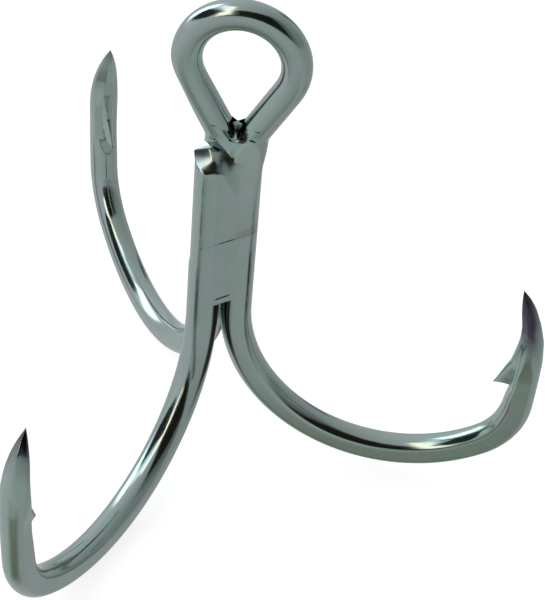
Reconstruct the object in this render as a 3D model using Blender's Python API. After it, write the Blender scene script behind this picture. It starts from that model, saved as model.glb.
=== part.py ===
"""A large brazed treble hook. One wire makes the double hook: a point, up its shank, round the eye, and down
the other shank to a second point. A single hook is brazed into the groove beside those two shanks.
Metres. The origin is the centre of the eye, +Z runs up the shank, and the eye lies in the XZ plane."""

import math

import bmesh
import bpy
from mathutils import Matrix, Vector

WIRE = 0.0025  # diameter of the wire, which the other sizes are multiples of
RADIUS = WIRE / 2
STEP = 0.55 * WIRE  # spacing of the points along a curved wire
LEAST_STEPS = 8  # along a short arc
WIRE_SIDES = 4  # bevel resolution, for a twelve-sided wire
WELD = 1e-7
SHARP_ANGLE = 35.0

# The eye: a round loop on two straight legs, of wire pressed a little thinner than the shank.
EYE_WIRE = 0.93
EYE_RADIUS = 1.63 * WIRE
EYE_STEPS = 28

# Heights along the shank, down from the centre of the eye.
NECK_TOP = -2.47 * WIRE
TWIST_FOOT = -3.45 * WIRE
CUT_END = -3.1 * WIRE
SPLIT = -9.03 * WIRE
NECK_STEPS = 6

# The three wires of the shank stand in a triangle, which is turned a little against the hooks' planes.
PITCH = 1.05 * WIRE
SEAT_TURN = -13.0

# Each hook: the azimuth of its plane, its size against BEND, and how far from SPLIT its bend starts.
HOOKS = {
    "right": {"azimuth": 0.0, "seat": 0.0, "size": 0.955, "rise": 0.0},
    "rear": {"azimuth": 123.0, "seat": 120.0, "size": 1.035, "rise": 0.23 * WIRE},
    "front": {"azimuth": 248.0, "seat": 240.0, "size": 1.015, "rise": -0.15 * WIRE},
}

# The bend as arcs, from the foot of the shank to the point: radius and degrees.
BEND = ((5.48 * WIRE, 126.0), (2.52 * WIRE, 51.5), (40.0 * WIRE, 7.2))
POINT_LENGTH = 2.8 * WIRE
POINT_FULLNESS = 1.8
POINT_LEAN = 0.82  # 0 tapers evenly, 1 keeps the inner side straight
TIP_RADIUS = 0.03 * WIRE

# The barb: a sliver raised from the inner side of the wire, with a scoop cut under it.
BARB_ROOT = 2.05 * WIRE  # from the tip of the point back to the upper end of the barb
BARB_TIP = 4.05 * WIRE
BARB_HEIGHT = 0.41 * WIRE
BARB_SUNK = 0.35 * WIRE  # how deep its base lies in the wire
BARB_HALF_WIDTH = 0.25 * WIRE
BARB_SIDES = 10
BARB_BLUNTNESS = 0.06  # the tip's size, against the base's
SCOOP_AT = 4.45 * WIRE
SCOOP = (0.55 * WIRE, 0.2 * WIRE, 0.13 * WIRE)
SCOOP_SIDES = (12, 6)

# The shank's front is pressed flat across two wires and the braze between them.
FLAT_DEPTH = 0.08 * WIRE
CUT_SLOPES = (40.0, -25.0)  # the nippers leave the single hook's end as a ridge
CUTTER_WIDTH = 4 * WIRE

# Braze: what fills the grooves between the wires, a little clear of them.
BRAZE_GAP = 0.0001
BRAZE_TOP = TWIST_FOOT
BRAZE_THROAT = 0.00005
BRAZE_SAG = 0.05 * WIRE
SIDE_LEVEL = 0.8 * RADIUS  # how far the two side runs come out of their grooves
ARC_STEPS = 6
CROTCH = (0.3 * WIRE, 0.3 * WIRE, 0.4 * WIRE)
CROTCH_RISE = 0.05 * WIRE
CROTCH_SIDES = (16, 10)

PLATED_COLOUR = (0.62, 0.66, 0.65, 1.0)
BRAZE_COLOUR = (0.58, 0.59, 0.54, 1.0)

Z = Vector((0.0, 0.0, 1.0))


def clear_scene():
    for obj in list(bpy.data.objects):
        bpy.data.objects.remove(obj, do_unlink=True)


def new_collection(name):
    collection = bpy.data.collections.new(name)
    bpy.context.scene.collection.children.link(collection)
    return collection


def new_material(name, colour, roughness):
    material = bpy.data.materials.new(name)
    material.use_nodes = True
    shader = material.node_tree.nodes["Principled BSDF"]
    shader.inputs["Base Color"].default_value = colour
    shader.inputs["Metallic"].default_value = 1.0
    shader.inputs["Roughness"].default_value = roughness
    return material


def direction(degrees):
    return Vector((math.cos(math.radians(degrees)), math.sin(math.radians(degrees)), 0.0))


def seat(hook):
    """Where a hook's shank wire stands, from the middle of the double hook's two wires."""
    ring = PITCH / math.sqrt(3)
    pair = direction(SEAT_TURN + HOOKS["right"]["seat"]) + direction(SEAT_TURN + HOOKS["rear"]["seat"])
    return ring * (direction(SEAT_TURN + HOOKS[hook]["seat"]) - pair / 2)


def bend_line(size):
    """Points (reach, height) down the shank's foot, round the bend and up to the tip, and each one's heading."""
    points = [Vector((0.0, 0.0))]
    headings = [math.radians(-90)]
    for radius, degrees in BEND:
        turn = math.radians(degrees)
        steps = max(LEAST_STEPS, round(radius * turn / STEP))
        start = headings[-1]
        centre = points[-1] + radius * size * Vector((-math.sin(start), math.cos(start)))
        for step in range(1, steps + 1):
            heading = start + turn * step / steps
            points.append(centre + radius * size * Vector((math.sin(heading), -math.cos(heading))))
            headings.append(heading)
    return points, headings


def distances_to_tip(points):
    distances = [0.0]
    for near, far in zip(points[::-1], points[-2::-1]):
        distances.append(distances[-1] + (near - far).length)
    return distances[::-1]


def tapered(distance):
    """The wire's radius this far back from the tip."""
    along = max(0.0, 1.0 - distance / POINT_LENGTH)
    return max(TIP_RADIUS, RADIUS * (1.0 - along**POINT_FULLNESS))


def in_space(hook, reach, height):
    at = HOOKS[hook]
    return seat(hook) + direction(at["azimuth"]) * reach + Z * (SPLIT + at["rise"] + height)


def hook_line(hook):
    """The hook's centre line and radii, from the foot of its shank to its tip."""
    points, headings = bend_line(HOOKS[hook]["size"])
    line = []
    for point, heading, distance in zip(points, headings, distances_to_tip(points)):
        radius = tapered(distance)
        inner = Vector((-math.sin(heading), math.cos(heading)))
        reach, height = point + inner * (RADIUS - radius) * POINT_LEAN
        line.append((in_space(hook, reach, height), radius))
    return line


def neck_line(side):
    """From the straight shank up to the eye's legs, where the pair has turned into the plane of the eye."""
    foot = seat("right") - seat("rear")
    start = math.atan2(foot.y, foot.x)
    line = []
    for step in range(NECK_STEPS + 1):
        share = step / NECK_STEPS
        eased = share * share * (3.0 - 2.0 * share)
        angle = start * (1.0 - eased)
        half = foot.length / 2 * (1.0 - eased) + RADIUS * eased
        radius = RADIUS * (1.0 - eased + EYE_WIRE * eased)
        flat = side * half * Vector((math.cos(angle), math.sin(angle), 0.0))
        line.append((flat + Z * (TWIST_FOOT + (NECK_TOP - TWIST_FOOT) * share), radius))
    return line


def eye_line():
    """The loop, from where the right leg meets it, over the top, to the left leg."""
    leg = Vector((RADIUS, NECK_TOP))
    first = math.atan2(leg.y, leg.x) + math.acos(EYE_RADIUS / leg.length)
    line = []
    for step in range(EYE_STEPS + 1):
        angle = first + (math.pi - 2 * first) * step / EYE_STEPS
        at = Vector((EYE_RADIUS * math.cos(angle), 0.0, EYE_RADIUS * math.sin(angle)))
        line.append((at, RADIUS * EYE_WIRE))
    return line


def double_hook_line():
    return (
        hook_line("right")[::-1]
        + neck_line(1)
        + eye_line()
        + neck_line(-1)[::-1]
        + hook_line("rear")
    )


def single_hook_line():
    top = seat("front") + Z * CUT_END
    return [(top, RADIUS)] + hook_line("front")


def wire_mesh(name, line, extra=0.0):
    """A closed mesh of round wire along the line, made from a bevelled curve."""
    curve = bpy.data.curves.new(name, "CURVE")
    curve.dimensions = "3D"
    curve.bevel_depth = RADIUS
    curve.bevel_resolution = WIRE_SIDES
    curve.use_fill_caps = True
    spline = curve.splines.new("POLY")
    spline.points.add(len(line) - 1)
    for point, (at, radius) in zip(spline.points, line):
        point.co = (*at, 1.0)
        point.radius = (radius + extra) / RADIUS
    return curve_to_mesh(name, curve)


def curve_to_mesh(name, curve):
    holder = bpy.data.objects.new(name + "_curve", curve)
    bpy.context.scene.collection.objects.link(holder)
    evaluated = holder.evaluated_get(bpy.context.evaluated_depsgraph_get())
    mesh = bpy.data.meshes.new_from_object(evaluated)
    mesh.name = name
    bpy.data.objects.remove(holder, do_unlink=True)
    model = bmesh.new()
    model.from_mesh(mesh)
    bmesh.ops.remove_doubles(model, verts=model.verts, dist=WELD)
    bmesh.ops.recalc_face_normals(model, faces=model.faces)
    model.to_mesh(mesh)
    model.free()
    return mesh


def place(name, mesh, collection, material=None):
    obj = bpy.data.objects.new(name, mesh)
    collection.objects.link(obj)
    if material:
        mesh.materials.append(material)
        mesh.shade_smooth()
        mesh.set_sharp_from_angle(angle=math.radians(SHARP_ANGLE))
    else:
        obj.hide_render = True
        obj.display_type = "WIRE"
    return obj


def combine(obj, other, operation):
    modifier = obj.modifiers.new(other.name, "BOOLEAN")
    modifier.operation = operation
    modifier.solver = "EXACT"
    modifier.object = other


def frame_at(hook, distance):
    """A matrix on the hook's inner side, this far back from the tip: X along it, Y across, Z out of the wire."""
    points, headings = bend_line(HOOKS[hook]["size"])
    distances = distances_to_tip(points)
    after = next(i for i, value in enumerate(distances) if value < distance)
    share = (distances[after - 1] - distance) / (distances[after - 1] - distances[after])
    point = points[after - 1].lerp(points[after], share)
    heading = headings[after - 1] * (1 - share) + headings[after] * share
    outward = direction(HOOKS[hook]["azimuth"])
    along = outward * math.cos(heading) + Z * math.sin(heading)
    inner = -outward * math.sin(heading) + Z * math.cos(heading)
    surface = in_space(hook, point.x, point.y) + inner * RADIUS
    return Matrix.Translation(surface) @ Matrix((along, inner.cross(along), inner)).transposed().to_4x4()


def barb(hook, helpers):
    """A skewed cone: its base lies in the wire and its apex is the barb's tip, level with the base's lower end."""
    half_length = (BARB_TIP - BARB_ROOT) / 2
    height = BARB_HEIGHT + BARB_SUNK
    skew = Matrix.Identity(4)
    skew[0][2] = -half_length / height
    mesh = bpy.data.meshes.new("barb_" + hook)
    model = bmesh.new()
    bmesh.ops.create_cone(
        model, segments=BARB_SIDES, radius1=1.0, radius2=BARB_BLUNTNESS, depth=1.0, cap_ends=True,
        matrix=Matrix.Translation((0.0, 0.0, 0.5)),
    )
    scale = Matrix.Diagonal((half_length, BARB_HALF_WIDTH, height, 1.0))
    middle = frame_at(hook, (BARB_ROOT + BARB_TIP) / 2)
    bmesh.ops.transform(
        model, matrix=middle @ Matrix.Translation((0.0, 0.0, -BARB_SUNK)) @ skew @ scale, verts=model.verts
    )
    model.to_mesh(mesh)
    model.free()
    return place("barb_" + hook, mesh, helpers)


def scoop(hook, helpers):
    mesh = bpy.data.meshes.new("scoop_" + hook)
    model = bmesh.new()
    bmesh.ops.create_uvsphere(model, u_segments=SCOOP_SIDES[0], v_segments=SCOOP_SIDES[1], radius=1.0)
    matrix = frame_at(hook, SCOOP_AT) @ Matrix.Diagonal((*SCOOP, 1.0))
    bmesh.ops.transform(model, matrix=matrix, verts=model.verts)
    model.to_mesh(mesh)
    model.free()
    return place("scoop_" + hook, mesh, helpers)


def block(name, matrix, helpers):
    """A cube of the size that the matrix gives it."""
    mesh = bpy.data.meshes.new(name)
    model = bmesh.new()
    bmesh.ops.create_cube(model, size=1.0)
    bmesh.ops.transform(model, matrix=matrix, verts=model.verts)
    model.to_mesh(mesh)
    model.free()
    return place(name, mesh, helpers)


def groove_frame(first, second):
    """The middle of two shank wires, the way from first to second, and the way out of their groove."""
    middle = (seat(first) + seat(second)) / 2
    across = (seat(second) - seat(first)).normalized()
    bundle = sum((seat(hook) for hook in HOOKS), Vector()) / len(HOOKS)
    outward = (middle - bundle).normalized()
    return middle, across, outward


def facing(outward, at):
    """A matrix at this point whose X faces outward and whose Z is up."""
    return Matrix.Translation(at) @ Matrix((outward, Z.cross(outward), Z)).transposed().to_4x4()


def shank_flat(helpers):
    """The block of space in front of the flat."""
    middle, _, outward = groove_frame("front", "right")
    size = Vector((WIRE, CUTTER_WIDTH, CUT_END - SPLIT))
    centre = middle + outward * (RADIUS - FLAT_DEPTH + size.x / 2) + Z * (CUT_END + SPLIT) / 2
    return block("shank_flat", facing(outward, centre) @ Matrix.Diagonal((*size, 1.0)), helpers)


def cut_end_blocks(helpers):
    """The two slopes of the nipped end, which meet in a ridge across it."""
    _, _, outward = groove_frame("front", "right")
    ridge = facing(outward, seat("front") + Z * CUT_END)
    blocks = []
    for number, slope in enumerate(CUT_SLOPES):
        tilt = Matrix.Rotation(math.radians(slope), 4, "X")
        size = Matrix.Translation(Z * WIRE) @ Matrix.Diagonal((CUTTER_WIDTH, CUTTER_WIDTH, 2 * WIRE, 1.0))
        blocks.append(block(f"cut_end_{number}", ridge @ tilt @ size, helpers))
    return blocks


def extruded(name, outline, low, high):
    """A closed prism on a flat outline, made from a filled curve."""
    curve = bpy.data.curves.new(name, "CURVE")
    curve.dimensions = "2D"
    curve.fill_mode = "BOTH"
    curve.extrude = (high - low) / 2
    spline = curve.splines.new("POLY")
    spline.use_cyclic_u = True
    spline.points.add(len(outline) - 1)
    for point, at in zip(spline.points, outline):
        point.co = (at.x, at.y, 0.0, 1.0)
    mesh = curve_to_mesh(name, curve)
    mesh.transform(Matrix.Translation(Z * (low + high) / 2))
    return mesh


def wire_arc(centre, start, end):
    """Points on a circle just clear of a shank wire."""
    clear = RADIUS + BRAZE_GAP
    angles = [start + (end - start) * step / ARC_STEPS for step in range(ARC_STEPS + 1)]
    return [centre + clear * Vector((math.cos(angle), math.sin(angle), 0.0)) for angle in angles]


def throat_angle():
    """How far round a wire, from the line to its neighbour, the braze thins out to nothing."""
    return math.acos((PITCH / 2 - BRAZE_THROAT) / (RADIUS + BRAZE_GAP))


def groove_outline(first, second, level, sag):
    """The braze between two wires: up to this level above their middle, and hollow by the sag."""
    middle, across, outward = groove_frame(first, second)
    heading = math.atan2(across.y, across.x)
    side = 1.0 if across.cross(outward).z > 0 else -1.0
    narrow = throat_angle()
    wide = math.asin(level / (RADIUS + BRAZE_GAP))
    first_side = wire_arc(seat(first), heading + side * wide, heading + side * narrow)
    back = heading + math.pi
    second_side = wire_arc(seat(second), back - side * narrow, back - side * wide)
    half = (second_side[-1] - first_side[0]).length / 2
    outer = []
    for step in range(1, ARC_STEPS):
        share = 1.0 - 2.0 * step / ARC_STEPS
        dip = sag * (1.0 - share * share)
        outer.append(middle + across * half * share + outward * (level - dip))
    return first_side + second_side + (outer if sag else [])


def core_outline():
    """The braze in the middle of the three wires."""
    hooks = list(HOOKS)
    bundle = sum((seat(hook) for hook in hooks), Vector()) / len(hooks)
    half = math.radians(30) - throat_angle()
    outline = []
    for hook in hooks:
        inward = bundle - seat(hook)
        heading = math.atan2(inward.y, inward.x)
        outline += wire_arc(seat(hook), heading + half, heading - half)
    return outline


def build_double_hook(collection, helpers, material):
    obj = place("double_hook", wire_mesh("double_hook", double_hook_line()), collection, material)
    for hook in ("right", "rear"):
        combine(obj, barb(hook, helpers), "UNION")
        combine(obj, scoop(hook, helpers), "DIFFERENCE")
    return obj


def build_single_hook(collection, helpers, material):
    obj = place("single_hook", wire_mesh("single_hook", single_hook_line()), collection, material)
    combine(obj, barb("front", helpers), "UNION")
    combine(obj, scoop("front", helpers), "DIFFERENCE")
    for cutter in cut_end_blocks(helpers):
        combine(obj, cutter, "DIFFERENCE")
    return obj


def build_braze_runs(collection, material):
    outlines = {
        "front_braze_run": groove_outline("front", "right", RADIUS - FLAT_DEPTH, 0.0),
        "left_braze_run": groove_outline("front", "rear", SIDE_LEVEL, BRAZE_SAG),
        "rear_braze_run": groove_outline("right", "rear", SIDE_LEVEL, BRAZE_SAG),
        "core_braze_run": core_outline(),
    }
    for name, outline in outlines.items():
        place(name, extruded(name, outline, SPLIT, BRAZE_TOP), collection, material)


def build_crotch_braze(collection, helpers, material):
    """The braze that closes the foot of the eye, so that a line can't slip between its legs."""
    mesh = bpy.data.meshes.new("crotch_braze")
    model = bmesh.new()
    bmesh.ops.create_uvsphere(model, u_segments=CROTCH_SIDES[0], v_segments=CROTCH_SIDES[1], radius=1.0)
    centre = Matrix.Translation(Z * (NECK_TOP + CROTCH_RISE))
    bmesh.ops.transform(model, matrix=centre @ Matrix.Diagonal((*CROTCH, 1.0)), verts=model.verts)
    model.to_mesh(mesh)
    model.free()
    obj = place("crotch_braze", mesh, collection, material)
    loop = eye_line()
    half = len(loop) // 2
    for name, leg in (("right_leg", neck_line(1) + loop[:half]), ("left_leg", neck_line(-1) + loop[:half:-1])):
        combine(obj, place(name, wire_mesh(name, leg, BRAZE_GAP), helpers), "DIFFERENCE")


def main():
    clear_scene()
    parts = new_collection("treble_hook")
    helpers = new_collection("helpers")
    helpers.hide_render = True
    plated = new_material("plated_wire", PLATED_COLOUR, 0.18)
    braze = new_material("braze_fill", BRAZE_COLOUR, 0.32)
    double_hook = build_double_hook(parts, helpers, plated)
    single_hook = build_single_hook(parts, helpers, plated)
    flat = shank_flat(helpers)
    combine(double_hook, flat, "DIFFERENCE")
    combine(single_hook, flat, "DIFFERENCE")
    build_braze_runs(parts, braze)
    build_crotch_braze(parts, helpers, braze)


main()
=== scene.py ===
"""The looks of a large brazed treble hook: its forged and plated wires and the braze between them.

The shapes repeat the CAD model's driving dimensions, in metres, so each piece lies where its CAD node does.
The origin is the centre of the eye, +Z runs up the shank, and the eye lies in the XZ plane."""

import math

import bmesh
import bpy
import numpy as np
from mathutils import Matrix, Vector


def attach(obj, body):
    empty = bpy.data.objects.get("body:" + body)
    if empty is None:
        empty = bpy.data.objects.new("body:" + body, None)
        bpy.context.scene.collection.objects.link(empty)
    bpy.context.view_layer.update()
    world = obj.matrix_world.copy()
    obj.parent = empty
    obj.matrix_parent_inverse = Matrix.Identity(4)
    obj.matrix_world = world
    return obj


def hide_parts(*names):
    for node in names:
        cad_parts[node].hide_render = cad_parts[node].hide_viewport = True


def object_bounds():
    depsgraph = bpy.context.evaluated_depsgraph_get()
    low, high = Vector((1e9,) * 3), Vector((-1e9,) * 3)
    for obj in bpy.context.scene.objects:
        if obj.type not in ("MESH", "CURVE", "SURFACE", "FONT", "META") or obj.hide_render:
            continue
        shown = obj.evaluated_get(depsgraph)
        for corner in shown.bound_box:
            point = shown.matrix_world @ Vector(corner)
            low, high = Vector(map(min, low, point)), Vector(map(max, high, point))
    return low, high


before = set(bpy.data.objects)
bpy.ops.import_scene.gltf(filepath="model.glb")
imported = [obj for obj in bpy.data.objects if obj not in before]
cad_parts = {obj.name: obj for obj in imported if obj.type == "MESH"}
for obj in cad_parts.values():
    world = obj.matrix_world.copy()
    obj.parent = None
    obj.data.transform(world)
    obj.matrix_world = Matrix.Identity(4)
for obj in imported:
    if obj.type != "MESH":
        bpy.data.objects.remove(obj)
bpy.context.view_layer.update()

BODY = "root"
WIRE = 0.0025  # the shank wires' diameter


def wires(*lengths):
    """Lengths that are given in wire diameters."""
    return tuple(length * WIRE for length in lengths)


# ---- Driving dimensions, as in the CAD model ----

RADIUS = WIRE / 2
EYE_WIRE = 0.93  # how thick the wire is in the eye, against WIRE
EYE_RADIUS = 1.63 * WIRE  # to the wire's middle
NECK_TOP = -2.47 * WIRE  # where the eye's legs meet
TWIST_FOOT = -3.45 * WIRE  # the double hook's two wires turn between this and NECK_TOP
CUT_END = -3.03 * WIRE  # the single hook's upper end
SPLIT = -9.03 * WIRE  # where the wires leave each other
PITCH = 1.05 * WIRE  # from one shank wire's middle to the next
SEAT_TURN = -13.0  # how far the three shank wires are turned round the shank

# Azimuths and seats are in degrees. A size is against BEND, and a rise lifts the hook's bend.
HOOKS = {
    "right": {"azimuth": 0.0, "seat": 0.0, "size": 0.955, "rise": 0.0},
    "rear": {"azimuth": 123.0, "seat": 120.0, "size": 1.035, "rise": 0.23 * WIRE},
    "front": {"azimuth": 248.0, "seat": 240.0, "size": 1.015, "rise": -0.15 * WIRE},
}
# The bend's arcs, from the shank to the tip: each one's radius, and the degrees that it turns.
BEND = ((5.48 * WIRE, 126.0), (2.52 * WIRE, 51.5), (40.0 * WIRE, 7.2))

# ---- Fine shape ----

DENSE = 0.01 * WIRE  # spacing of the points that a wire's line is first worked out at
RING_SPACING = 0.085 * WIRE
FINE_SPACING = 0.03 * WIRE
FINE_TIP = 4.2 * WIRE  # rings lie closer up to this far from a tip,
FINE_STEP = 0.6 * WIRE  # this far from the step in the flat,
FINE_CUT = (CUT_END - 0.2 * WIRE, CUT_END + 0.5 * WIRE)  # and between these heights
RING_POINTS = 88
GATHER = 0.45  # how strongly a ring's points gather at the barb, and where that starts and ends
GATHER_STARTS = wires(1.5, 2.2)
GATHER_ENDS = wires(4.6, 6.0)
KINK = 0.16 * WIRE  # how far a kink in the line is rounded, past these distances from the tip
KINK_STARTS = wires(8, 12)

# The ground point: how far its inner and outer edges are from the wire's middle, against RADIUS.
POINT_AT = np.array((0.0, 0.2, 0.4, 0.8, 1.45, 2.1, 2.8, 3.9, 4.5, 5.2)) * WIRE
POINT_INNER = (0.80, 0.83, 0.84, 0.80, 0.65, 0.66, 0.70, 0.76, 0.9, 1.0)
POINT_OUTER = (-0.74, -0.48, -0.22, 0.16, 0.58, 0.88, 1.0, 1.0, 1.0, 1.0)
POINT_BLEND = 0.12 * WIRE
POINT_LENGTH = 2.8 * WIRE  # over which the wire gets broader across its plane
POINT_FULLNESS = 2.6
TIP_BREADTH = 0.03
GROUND = 0.85  # how deep the four ground facets are, against the local radius
GROUND_LENGTH = wires(1.6, 2.7)  # where the facets start to fade and where they have gone
GROUND_EDGE = 0.03

# The barb: heights at distances from the tip, and its half width at both ends.
BARB_AT = np.array((1.95, 2.3, 2.97, 3.03, 3.93)) * WIRE
BARB_HEIGHT = np.array((0.0, 0.04, 0.15, 0.18, 0.535)) * WIRE
BARB_HALF_WIDTH = wires(0.27, 0.13)
BARB_FULLNESS = 0.8
BARB_LEAN = 0.2
BARB_LEANS = wires(0.2, 0.6)  # heights between which the lean comes in
BARB_FOOT = 0.03 * WIRE  # length of the barb's steep underside along the wire
SCOOP_DEPTH = 0.09 * WIRE
SCOOP_END = 4.8 * WIRE
SCOOP_SPARE = 0.05
SCOOP_EDGE = 0.004 * WIRE

# Flats: how far from the wire's centre, against its radius, and how round their edges are.
SHANK_FLAT = 0.84
EYE_FLAT = 0.93
NO_FLAT = 1.02
FORGED = {  # halfway round the bend, and after it
    "right": (0.86, 0.78),
    "rear": (0.95, 0.9),
    "front": (0.94, 0.8),
}
FORGED_SIDE = {"right": -90.0, "rear": 90.0, "front": 90.0}  # which way the flat's face looks from the hook
EDGE = 0.02 * WIRE
EYE_EDGE = 0.05 * WIRE
FLAT_TURN = math.radians(60)  # the part of the bend over which the flat turns into the hook's side
FORGED_TURN = (math.radians(60), math.radians(110))  # where the forging gets deeper
FLAT_ENDS = wires(2.2, 3.6)  # distances from the tip over which the flats end
WORKED_DEPTH = 0.05 * WIRE  # pressed this far, the plating is at its dullest
EDGE_LINE = 0.018 * WIRE  # and this far, it is in the middle of the painted shade line at a flat's edge

# The step that the die left across the shank's flat. Its height is at the flat's middle.
STEP_HEIGHT = -6.03 * WIRE
STEP_SLOPE = 0.36
STEP_RISE = 0.02 * WIRE
STEP_WIDTH = 0.05 * WIRE

# The crack below the die's edge, with places across the flat, and a shorter one in the braze.
LONG_CRACK_DEPTH = 0.024 * WIRE
LONG_CRACK_WIDTH = 0.026 * WIRE
LONG_CRACK_BELOW = 0.02 * WIRE
LONG_CRACK_STARTS = wires(-0.66, -0.5)
LONG_CRACK_DEEPENS = wires(-0.3, -0.1)
LONG_CRACK_FADES = wires(0.15, 0.4)
LONG_CRACK_FAINT = (0.35, 0.5)  # its depth before it deepens and after it fades, against its own
SHORT_CRACK_DEPTH = 0.026 * WIRE
SHORT_CRACK_WIDTH = 0.025 * WIRE
SHORT_CRACK_HEIGHT = -8.32 * WIRE
SHORT_CRACK_SLOPE = 0.42
SHORT_CRACK_ENDS = wires(0.26, 0.18)

# The fine line at each edge of the flat: where it lies, and where its upper end is at the left and right.
FLAT_EDGE = 0.796 * WIRE
FLAT_EDGE_DEPTH = 0.016 * WIRE
FLAT_EDGE_WIDTH = 0.03 * WIRE
FLAT_EDGE_TOPS = wires(-3.5, -4.3)
FLAT_EDGE_FADE = 0.5 * WIRE
FLAT_EDGE_FOOT = (SPLIT - 0.4 * WIRE, SPLIT + 0.6 * WIRE)
FLAT_EDGE_STEADY = 0.6  # the share of its depth that stays the same, with these waves about it
FLAT_EDGE_WAVES = ((0.25, 0.31 * WIRE), (0.15, 0.083 * WIRE))

# The single hook's shank bulges to the left below this height, until a little way round its bend.
SWELL = 0.06
SWELL_HEIGHT = -7.1 * WIRE
SWELL_BLEND = 0.2 * WIRE
SWELL_END = 3.0 * WIRE

# Where the flat starts to draw back below the neck, and where it is level with the front of the eye.
RECESS_ACROSS = np.array((-0.5, -0.2, 0.3)) * WIRE
RECESS_FOOT = np.array((-3.3, -3.45, -4.4)) * WIRE
RECESS_TOP = np.array((-2.8, -2.8, -2.65)) * WIRE
RECESS_BLEND = 0.12 * WIRE
RECESS_SOFTNESS = 0.07
RECESS_CLEAR = 0.015 * WIRE

EYE_RING_DROP = 0.7 * WIRE  # the eye's rings start on the side away from a place this far below its middle
EYE_END = 0.12  # the shares of its line over which they turn to the neck's
EYE_FLAT_RUN_IN = 0.2  # and over which its flats come in

# The nipped end: the azimuth that each of its faces falls towards, its slope, and its height at the middle.
NIPPED_FACES = (
    (50.0, 0.5, 0.3 * WIRE),
    (206.0, 0.72, 0.32 * WIRE),
    (257.0, 1.1, 0.5 * WIRE),
    (294.0, 1.42, 0.68 * WIRE),
)
NIPPED_SPARE = 0.3 * WIRE  # how far the shank's line runs past CUT_END, to be drawn back to the faces
NIPPED_FOOT = CUT_END - 0.45 * WIRE  # below this height the wire stays as it is
NIPPED_RINGS = 60  # more than lie near the cut, and fewer than reach round to the tip
NIPPED_LIDS = (0.05, 0.15, 0.27, 0.39, 0.51, 0.63, 0.74, 0.84, 0.92, 0.975)  # rings across the cut
NIPPED_EDGE = 0.015 * WIRE


def direction(degrees):
    return np.array((math.cos(math.radians(degrees)), math.sin(math.radians(degrees)), 0.0))


def directions(angles):
    """The same for many angles, in radians."""
    return np.stack((np.cos(angles), np.sin(angles), np.zeros_like(angles)), axis=-1)


UP = np.array((0.0, 0.0, 1.0))
BACK = np.array((0.0, 1.0, 0.0))
RIGHT = np.array((1.0, 0.0, 0.0))
RING = PITCH / math.sqrt(3)


def seat(hook):
    """Where a hook's shank wire stands, from the middle of the double hook's two wires."""
    pair = direction(SEAT_TURN + HOOKS["right"]["seat"]) + direction(SEAT_TURN + HOOKS["rear"]["seat"])
    return RING * (direction(SEAT_TURN + HOOKS[hook]["seat"]) - pair / 2)


BUNDLE = sum(seat(hook) for hook in HOOKS) / len(HOOKS)


def groove(first, second):
    """The middle of two shank wires, the way from first to second, and the way out of their groove."""
    middle = (seat(first) + seat(second)) / 2
    across = (seat(second) - seat(first)) / PITCH
    outward = middle - BUNDLE
    return middle, across, outward / np.linalg.norm(outward)


FLAT_MIDDLE, FLAT_ACROSS, FLAT_OUT = groove("front", "right")
FLAT_AZIMUTH = math.degrees(math.atan2(FLAT_OUT[1], FLAT_OUT[0])) % 360


def eased(low, high, value):
    """0 below low and 1 above high, with a smooth turn between them. Low may be the greater."""
    share = np.clip((value - low) / (high - low), 0.0, 1.0)
    return share * share * (3.0 - 2.0 * share)


def blend(first, second, share):
    return first + (second - first) * share


def unit(vectors):
    return vectors / np.linalg.norm(vectors, axis=-1, keepdims=True)


def smooth_read(value, places, readings, spread):
    """Between given readings, with the corners rounded by averaging over a short length."""
    offsets = np.linspace(-1.0, 1.0, 9)
    weights = 1.0 - 0.9 * abs(offsets)
    read = [np.interp(value + offset * spread, places, readings) for offset in offsets]
    return sum(weight * at for weight, at in zip(weights, read)) / weights.sum()


def soft_over(value, limit, softness):
    """How far a value is over a limit, with the start rounded off."""
    return softness * np.logaddexp(0.0, (value - limit) / softness)


# ---- A wire's line ----
# A line is a dict of arrays, one row for each point: "at"; "radius", half the height in a hook's plane;
# "breadth", half across it; "inner", the way that a ring starts; "tip", the distance to the nearest tip;
# "tipward", 1 or -1 as the line runs to or from it; and for each of PRESSES a direction and a limit, against
# the radius.

PRESSES = ("face", "back", "front_of_eye", "back_of_eye")
UNPRESSED = (-UP, 2.0)
FAR = 1.0  # stands for the distance to the tip in the neck and the eye


def make_line(at, radius, inner, tip=FAR, presses=()):
    count = len(at)
    line = {
        "at": at,
        "radius": np.broadcast_to(radius, count).copy(),
        "breadth": np.broadcast_to(radius, count).copy(),
        "inner": np.broadcast_to(inner, (count, 3)).copy(),
        "tip": np.broadcast_to(tip, count).copy(),
        "tipward": np.ones(count),
    }
    presses = dict(presses)
    for name in PRESSES:
        way, limit = presses.get(name, UNPRESSED)
        line[name] = np.broadcast_to(way, (count, 3)).copy()
        line[name + "_limit"] = np.broadcast_to(limit, count).copy()
    return line


def turned_round(line):
    line = {name: values[::-1].copy() for name, values in line.items()}
    line["tipward"] *= -1
    return line


def joined(lines):
    """One line from several that meet: the point that two of them share is kept once."""
    return {
        name: np.concatenate([lines[0][name]] + [line[name][1:] for line in lines[1:]])
        for name in lines[0]
    }


def lengths_along(at):
    steps = np.linalg.norm(np.diff(at, axis=0), axis=1)
    return np.concatenate(((0.0,), np.cumsum(steps)))


def read_columns(places, along, columns):
    return np.stack([np.interp(places, along, column) for column in columns.T], axis=1)


def resampled(line, places):
    along = lengths_along(line["at"])
    made = {}
    for name, values in line.items():
        read = read_columns(places, along, values.reshape(len(along), -1))
        made[name] = read.reshape((len(places),) + values.shape[1:])
    for name in ("inner",) + PRESSES:
        made[name] = unit(made[name])
    return made


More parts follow.
